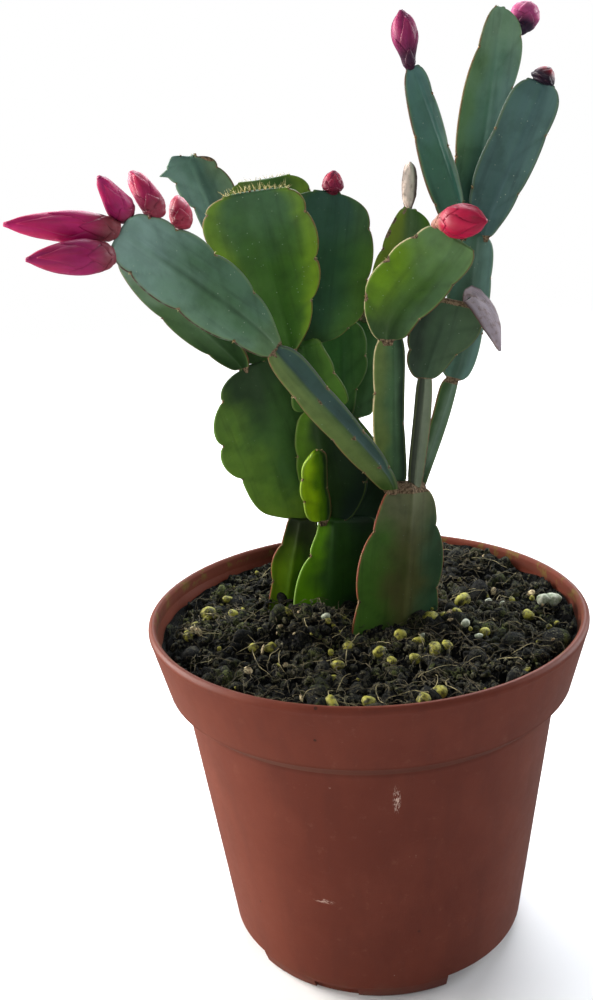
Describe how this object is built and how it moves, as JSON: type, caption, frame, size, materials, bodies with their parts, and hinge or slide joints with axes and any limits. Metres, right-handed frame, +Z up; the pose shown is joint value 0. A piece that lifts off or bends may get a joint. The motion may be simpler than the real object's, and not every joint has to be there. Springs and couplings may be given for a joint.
{
  "type": "potted easter cactus",
  "caption": "Easter cactus with flat jointed segments, scalloped margins and crimson buds, growing in peat in a round plastic nursery pot.",
  "frame": {"origin": "middle of the pot's underside, on the surface that it stands on", "axes": "+Z up the pot's axis; -Y is the side seen in the picture, +X to its right"},
  "size_m": [0.1308, 0.12, 0.2498],
  "materials": {
    "pot_plastic": "satin",
    "peat": "matte",
    "cactus_skin": "satin",
    "cactus_cork": "matte",
    "bud_petal": "satin",
    "dried_petal": "matte"
  },
  "bodies": {
    "root": {"pot": "pot_plastic", "soil": "peat", "bud_b5": "bud_petal", "bud_c2_high": "bud_petal", "bud_c2_long": "bud_petal", "bud_c2_low": "bud_petal", "bud_c2_middle": "bud_petal", "bud_c2_short": "bud_petal", "bud_c4": "bud_petal", "bud_e3_dried": "dried_petal", "bud_f2": "bud_petal", "bud_f3": "bud_petal", "bud_f4": "bud_petal", "dried_flower_c5": "dried_petal", "dried_flower_d1": "dried_petal", "segment_a0": "cactus_skin", "segment_a1": "cactus_skin", "segment_a2": "cactus_skin", "segment_a3": "cactus_skin", "segment_a4": "cactus_skin", "segment_b0": "cactus_skin", "segment_b1": "cactus_skin", "segment_b2": "cactus_skin", "segment_b3": "cactus_skin", "segment_b4": "cactus_skin", "segment_b5": "cactus_skin", "segment_b6": "cactus_skin", "segment_c0": "cactus_skin", "segment_c1": "cactus_skin", "segment_c2": "cactus_skin", "segment_c3": "cactus_skin", "segment_c4": "cactus_skin", "segment_c5": "cactus_skin", "segment_d0": "cactus_cork", "segment_d1": "cactus_skin", "segment_e0": "cactus_skin", "segment_e1": "cactus_skin", "segment_e2": "cactus_skin", "segment_e3": "cactus_skin", "segment_f0": "cactus_skin", "segment_f1": "cactus_skin", "segment_f2": "cactus_skin", "segment_f3": "cactus_skin", "segment_f4": "cactus_skin"}
  },
  "joints": []
}
